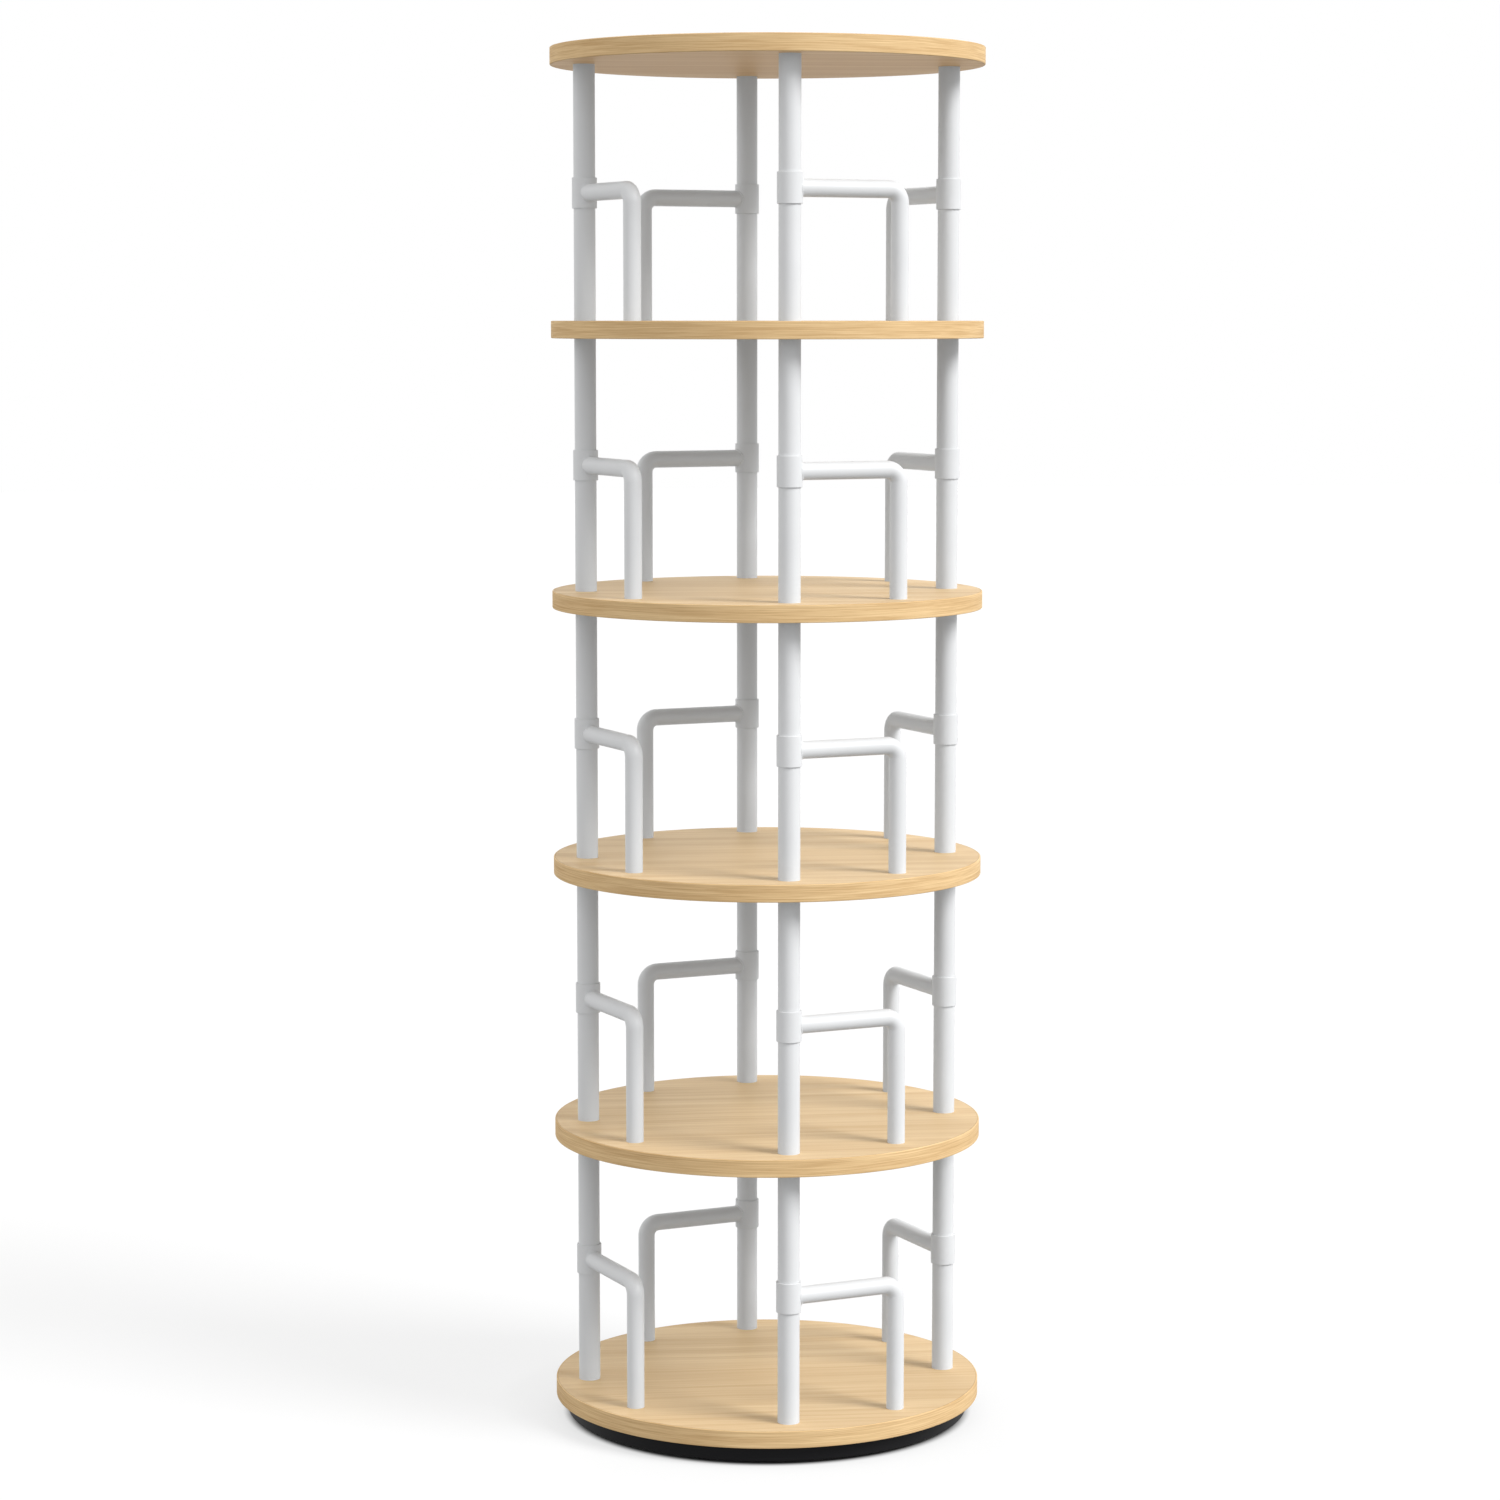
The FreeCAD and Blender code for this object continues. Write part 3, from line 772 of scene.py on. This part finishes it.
turn_round = sums(rail_tree, "MULTIPLY", way_along(rail_tree), math.tau)
side = sums(rail_tree, "MULTIPLY", given["Tube radius"], sums(rail_tree, "COSINE", turn_round))
rise = sums(rail_tree, "MULTIPLY", given["Tube radius"], sums(rail_tree, "SINE", turn_round))
saddle = vector(rail_tree, other_leg(rail_tree, given["Sleeve radius"], side), side, rise)
seam = moved_to(rail_tree, circle(rail_tree, 1.0, BEAD_STEPS), saddle)
ripple = sums(rail_tree, "SINE", sums(rail_tree, "MULTIPLY", turn_round, BEAD_RIPPLES))
swelling = sums(rail_tree, "MULTIPLY_ADD", ripple, BEAD_SWELL, 1.0)
bead = swept(rail_tree, seam, circle(rail_tree, given["Bead radius"], BEAD_SIDES), scale=swelling)

at_rail_height = vector(rail_tree, z=given["Rail height"])
collar = shifted(rail_tree, joined(rail_tree, sleeve, bead), at_rail_height)
set_out(rail_tree, given, result, joined(rail_tree, tube, collar))

# %% Guard rails on their posts
BEND_RADIUS = 0.012
SLEEVE_SOFTNESS = 0.0004
BEAD_RADIUS = 0.0009

rail_places = [foot_of(post) for post in POSTS]
rail_lines = [foot_of(rail) - place for rail, place in zip(RAILS, rail_places)]
rail_turns = [math.atan2(line.y, line.x) for line in rail_lines]
guard_rails = make_pieces("guard_rails", rail_tree, rail_places, rail_turns, white_coat, {
    "Reach": rail_reach, "Rail height": rail_height,
    "Tube radius": tube_radius, "Bend radius": BEND_RADIUS,
    "Sleeve radius": sleeve_radius, "Sleeve bore": sleeve_bore, "Sleeve height": sleeve_height,
    "Edge softness": SLEEVE_SOFTNESS, "Bead radius": BEAD_RADIUS,
})
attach(guard_rails, "carousel")
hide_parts(*RAILS)

# %% [markdown]
# ## Rim bands
# Edge banding is glued on, trimmed flush and scraped, which rounds its outer edges and leaves it a
# hair below the face next to the glue line. The band is a section swept round a circle. Only the
# section's outer corners are rounded, and its inner corners are drawn in a little, so the face's edge
# shows as a fine step.

# %% Rim bands
BAND_ROUND = 0.0008
BAND_LAP = 0.0006
SCRAPE = 0.0001

band_sizes = {
    "Inner radius": core_radius - BAND_LAP, "Outer radius": rim_radius, "Height": board_height,
    "Edge round": BAND_ROUND, "Scrape": SCRAPE,
}
band_tree, given, result = new_tree("rim_band", *band_sizes)
band = rounded_ring(band_tree, *[given[size] for size in band_sizes])
set_out(band_tree, given, result, band)

board_middles = [Vector((0, 0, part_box(name)[0].z + board_height / 2)) for name in BOARDS]
no_turns = [0.0] * len(BOARDS)
rim_bands = make_pieces("rim_bands", band_tree, board_middles, no_turns, band_wood, band_sizes)
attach(rim_bands, "carousel")
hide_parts("edge_bands")

# %% [markdown]
# ## Screws
# Flat-head socket screws come up through every shelf into the legs, and up through the bottom shelf
# into the posts. Only their heads show, from below. A cone makes the head and a cylinder the shank,
# and a six-sided prism is taken out of the head for the key. The distance from the screw's own axis
# is stored before copying, for the lathe rings.

# %% Screw tree
HEAD_STEPS = 48
HEAD_RINGS = 6
KEY_SIDES = 6

screw_tree, given, result = new_tree(
    "frame_screw", "Head radius", "Shank radius", "Length", "Key width", "Key depth"
)
head_depth = sums(screw_tree, "SUBTRACT", given["Head radius"], given["Shank radius"])
head_sizes = {
    "Vertices": HEAD_STEPS, "Fill Segments": HEAD_RINGS, "Radius Top": given["Shank radius"],
    "Radius Bottom": given["Head radius"], "Depth": head_depth,
}
head = add(screw_tree, "GeometryNodeMeshCone", head_sizes).outputs["Mesh"]
key_radius = sums(screw_tree, "DIVIDE", given["Key width"], 2 * math.cos(math.pi / KEY_SIDES))
prism_length = sums(screw_tree, "MULTIPLY", given["Key depth"], 2.0)
key_prism = cylinder(screw_tree, key_radius, prism_length, KEY_SIDES)
cut_key = {"Mesh 1": head, "Mesh 2": key_prism}
socketed = add(screw_tree, "GeometryNodeMeshBoolean", cut_key, operation="DIFFERENCE").outputs["Mesh"]
shank_length = sums(screw_tree, "SUBTRACT", given["Length"], head_depth)
shank = cylinder(screw_tree, given["Shank radius"], shank_length, HEAD_STEPS // 2)
shank_middle = sums(screw_tree, "MULTIPLY_ADD", shank_length, 0.5, head_depth)
whole = joined(screw_tree, socketed, shifted(screw_tree, shank, vector(screw_tree, z=shank_middle)))
from_axis = flat_length(screw_tree, position(screw_tree))
own_axis = {"Geometry": whole, "Name": OWN_AXIS, "Value": from_axis}
screw = add(screw_tree, "GeometryNodeStoreNamedAttribute", own_axis).outputs[0]
set_out(screw_tree, given, result, screw)

# %% Screws in their holes
HEAD_RADIUS = 0.006
SHANK_RADIUS = 0.003
KEY_WIDTH = 0.0039
KEY_DEPTH = 0.0024
TURN_STEP = 0.7

screw_low, screw_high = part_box("post_bolts")
screw_places = [Vector((*foot_of(post).xy, screw_low.z)) for post in POSTS[:len(SIDES)]]
screw_places += [foot_of(rail) - Vector((0, 0, board_height)) for rail in RAILS]
screw_turns = [index * TURN_STEP for index in range(len(screw_places))]
frame_screws = make_pieces("frame_screws", screw_tree, screw_places, screw_turns, screw_zinc, {
    "Head radius": HEAD_RADIUS, "Shank radius": SHANK_RADIUS, "Length": screw_high.z - screw_low.z,
    "Key width": KEY_WIDTH, "Key depth": KEY_DEPTH,
})
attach(frame_screws, "carousel")
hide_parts("post_bolts", "rail_screws")

# %% [markdown]
# ## Base plate
# The base plate is a black disc with rounded rims, a round pocket for the turntable and one hole,
# through which the turntable's upper screws are driven. The frame's mesh shows its small rounds with
# few steps, and from low down that looks rough. A section that reaches in to the axis, swept round
# it, gives the whole disc at once. The pocket and the hole are cut out of it afterwards, at the
# places measured on the frame.

# %% Measure the base plate
WELL_INSIDE = 0.9

base_low, base_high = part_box("base_plate")
base_radius = reach("base_plate")
base_height = base_high.z - base_low.z
base_points = points_of("base_plate")
base_skin = base_height / THIN_SLICES
top_face = [point for point in base_points if point.z > base_high.z - base_skin]
pocket_radius = min(point.xy.length for point in top_face)
in_pocket = pocket_radius * WELL_INSIDE
pocket_floor = max(point.z for point in base_points if point.xy.length < in_pocket)
underside = [point for point in base_points if point.z < base_low.z + base_skin]
hole_ring = [point for point in underside if point.xy.length < base_radius * WELL_INSIDE]
hole_spot = sum(hole_ring, Vector()) / len(hole_ring)
hole_radius = max((point - hole_spot).xy.length for point in hole_ring)
print(f"base: radius {base_radius:.4f} m, pocket {pocket_radius:.4f} m, floor {pocket_floor:.4f} m")
print(f"hole: radius {hole_radius:.4f} m at {hole_spot.x:.4f}, {hole_spot.y:.4f}")

# %% Base plate
BASE_ROUND = 0.0015
MERGE_DISTANCE = 0.00001

base_sizes = {
    "Radius": base_radius, "Height": base_height, "Edge round": BASE_ROUND,
    "Pocket radius": pocket_radius, "Pocket floor": pocket_floor - base_low.z,
    "Hole radius": hole_radius, "Hole X": hole_spot.x, "Hole Y": hole_spot.y,
}
base_tree, given, result = new_tree("painted_base", *base_sizes)
disc = rounded_ring(base_tree, 0.0, given["Radius"], given["Height"], given["Edge round"])
merge = {"Geometry": disc, "Distance": MERGE_DISTANCE}
disc = add(base_tree, "GeometryNodeMergeByDistance", merge).outputs[0]
pocket = cylinder(base_tree, given["Pocket radius"], given["Height"], RIM_STEPS)
pocket = shifted(base_tree, pocket, vector(base_tree, z=given["Pocket floor"]))
hole_depth = sums(base_tree, "MULTIPLY", given["Height"], 2.0)
hole = cylinder(base_tree, given["Hole radius"], hole_depth, HEAD_STEPS)
hole = shifted(base_tree, hole, vector(base_tree, given["Hole X"], given["Hole Y"]))
cut_pocket = {"Mesh 1": disc, "Mesh 2": pocket}
cut = add(base_tree, "GeometryNodeMeshBoolean", cut_pocket, operation="DIFFERENCE")
base_tree.links.new(hole, cut.inputs["Mesh 2"])
set_out(base_tree, given, result, cut.outputs["Mesh"])

base_middle = Vector((0, 0, base_low.z + base_height / 2))
painted_base = make_pieces("painted_base", base_tree, [base_middle], [0.0], black_paint, base_sizes)
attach(painted_base, "base")
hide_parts("base_plate")

# %% [markdown]
# ## Foot pads
# Eight rubber pads keep the base off the floor. A moulded pad has round ribs underneath for grip,
# which a plain disc lacks. The pad is a cone with many rings in its underside, and a cosine of the
# distance from its middle lifts the valleys between the ribs.

# %% Foot pad tree
PAD_STEPS = 40
PAD_RINGS = 30

pad_tree, given, result = new_tree(
    "foot_pad", "Top radius", "Floor radius", "Height", "Ribs", "Rib depth"
)
cone = add(pad_tree, "GeometryNodeMeshCone", {
    "Vertices": PAD_STEPS, "Fill Segments": PAD_RINGS, "Radius Top": given["Top radius"],
    "Radius Bottom": given["Floor radius"], "Depth": given["Height"],
}).outputs
here = position(pad_tree)
outwards = sums(pad_tree, "DIVIDE", flat_length(pad_tree, here), given["Floor radius"])
rib_turns = sums(pad_tree, "MULTIPLY", outwards, given["Ribs"])
wave = sums(pad_tree, "COSINE", sums(pad_tree, "MULTIPLY", rib_turns, math.tau))
valley = sums(pad_tree, "MULTIPLY_ADD", wave, -0.5, 0.5)
lift = vector(pad_tree, z=sums(pad_tree, "MULTIPLY", valley, given["Rib depth"]))
ribbed = moved_to(pad_tree, cone["Mesh"], vector_sums(pad_tree, "ADD", here, lift), cone["Bottom"])
set_out(pad_tree, given, result, ribbed)

# %% Foot pads under the base
PAD_COUNT = 8
PAD_TAPER = 0.001
PAD_RADIUS = 0.014
PAD_RIBS = 5
RIB_DEPTH = 0.0006

pad_circle = reach("feet") - PAD_RADIUS
pad_turns = [math.tau * index / PAD_COUNT for index in range(PAD_COUNT)]
pad_places = [Vector((math.cos(turn), math.sin(turn), 0)) * pad_circle for turn in pad_turns]
foot_pads = make_pieces("foot_pads", pad_tree, pad_places, pad_turns, foot_rubber, {
    "Top radius": PAD_RADIUS, "Floor radius": PAD_RADIUS - PAD_TAPER,
    "Height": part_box("feet")[1].z, "Ribs": PAD_RIBS, "Rib depth": RIB_DEPTH,
})
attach(foot_pads, "base")
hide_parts("feet")

# %% [markdown]
# ## Lamps
# The photograph is lit softly from the right and from a little above. A broad sun lamp does that
# evenly for every view, and a weak one from the left keeps the shaded side from going flat. A third,
# low behind the object, keeps the tubes white from behind. It makes no reflections, because from the
# front it would put a white sheen on the shelves.

# %% Lamps
MAIN_AZIMUTH = CAMERA_AZIMUTH + math.radians(62)
MAIN_ELEVATION = math.radians(39)
MAIN_STRENGTH = 2.35
MAIN_WIDTH = math.radians(28)
FILL_AZIMUTH = CAMERA_AZIMUTH - math.radians(95)
FILL_ELEVATION = math.radians(15)
FILL_STRENGTH = 0.3
FILL_WIDTH = math.radians(50)
BACK_AZIMUTH = CAMERA_AZIMUTH + math.radians(190)
BACK_ELEVATION = math.radians(8)
BACK_STRENGTH = 0.6
BACK_WIDTH = math.radians(16)


def add_sun(name, azimuth, elevation, strength, width):
    """A broad lamp that shines from a heading and height, the same all over the scene."""
    lamp = add_object(name, bpy.data.lights.new(name, "SUN"))
    lamp.data.energy = strength
    lamp.data.angle = width
    lamp.rotation_euler = (math.pi / 2 - elevation, 0, azimuth)
    print(f"{name}: strength {strength}, {math.degrees(elevation):.0f} degrees up")
    return lamp


add_sun("key_light", MAIN_AZIMUTH, MAIN_ELEVATION, MAIN_STRENGTH, MAIN_WIDTH)
add_sun("fill_light", FILL_AZIMUTH, FILL_ELEVATION, FILL_STRENGTH, FILL_WIDTH)
back_light = add_sun("back_light", BACK_AZIMUTH, BACK_ELEVATION, BACK_STRENGTH, BACK_WIDTH)
back_light.visible_glossy = False

# %% [markdown]
# ## World and floor
# The photograph's background is white. White from more light would wash the object out, so the world
# and the floor turn white only for the camera and for reflections. For light that falls on things
# the world is a pale grey and the floor a darker one, and the floor still takes the object's shadow.
# In the narrow gap under the base, and for a few millimetres round its edge, the glow is taken away:
# a painted contact shadow that makes the gap as dark as a real one. Seen from below it lets the
# camera through, so that the underside can be looked at.

# %% World
WORLD_STRENGTH = 0.7
WHITE = (1, 1, 1, 1)


def seen_directly(tree):
    """1 for a ray from the camera, a reflection or glass, and 0 for light that falls on things."""
    path = add(tree, "ShaderNodeLightPath").outputs
    seen = sums(tree, "MAXIMUM", path["Is Camera Ray"], path["Is Glossy Ray"])
    return sums(tree, "MAXIMUM", seen, path["Is Transmission Ray"])


world = bpy.data.worlds.new("studio")
world.use_nodes = True
bpy.context.scene.world = world
tree = world.node_tree
background = tree.nodes["Background"].inputs
strength = {"Value": seen_directly(tree), "To Min": WORLD_STRENGTH, "To Max": 1.0}
tree.links.new(add(tree, "ShaderNodeMapRange", strength).outputs[0], background["Strength"])
background["Color"].default_value = WHITE
bpy.context.scene.view_settings.view_transform = "Standard"
print("world strength", WORLD_STRENGTH, "for light that falls on things")

# %% Floor
FLOOR_HALF = 20.0
FLOOR_TONE = (0.3, 0.3, 0.3, 1)
FLOOR_GLOW = 0.68
PAINTED_SHADOW_WIDTH = 0.006

floor_mesh = bpy.data.meshes.new("floor")
corners = [(x * FLOOR_HALF, y * FLOOR_HALF, 0) for x, y in ((-1, -1), (1, -1), (1, 1), (-1, 1))]
floor_mesh.from_pydata(corners, [], [(0, 1, 2, 3)])
floor_paint, tree, shader = new_material("floor_paint", Roughness=0.9, Specular_IOR_Level=0.0)
shader["Base Color"].default_value = FLOOR_TONE
shader["Emission Color"].default_value = WHITE
from_middle = flat_length(tree, place_on(tree))
# Painted contact shadow: no glow under the base, fading in across its edge.
outside_painted_shadow = ramp(tree, from_middle, base_radius - PAINTED_SHADOW_WIDTH, base_radius + PAINTED_SHADOW_WIDTH)
glow = sums(tree, "MULTIPLY", seen_directly(tree), FLOOR_GLOW)
tree.links.new(sums(tree, "MULTIPLY", glow, outside_painted_shadow), shader["Emission Strength"])
back_face = add(tree, "ShaderNodeNewGeometry").outputs["Backfacing"]
camera_ray = add(tree, "ShaderNodeLightPath").outputs["Is Camera Ray"]
seen_from_below = sums(tree, "MULTIPLY", back_face, camera_ray)
tree.links.new(sums(tree, "SUBTRACT", 1.0, seen_from_below), shader["Alpha"])
floor_mesh.materials.append(floor_paint)
add_object("floor", floor_mesh)
print("floor:", 2 * FLOOR_HALF, "m wide, dark within", round(base_radius, 4), "m of the middle")
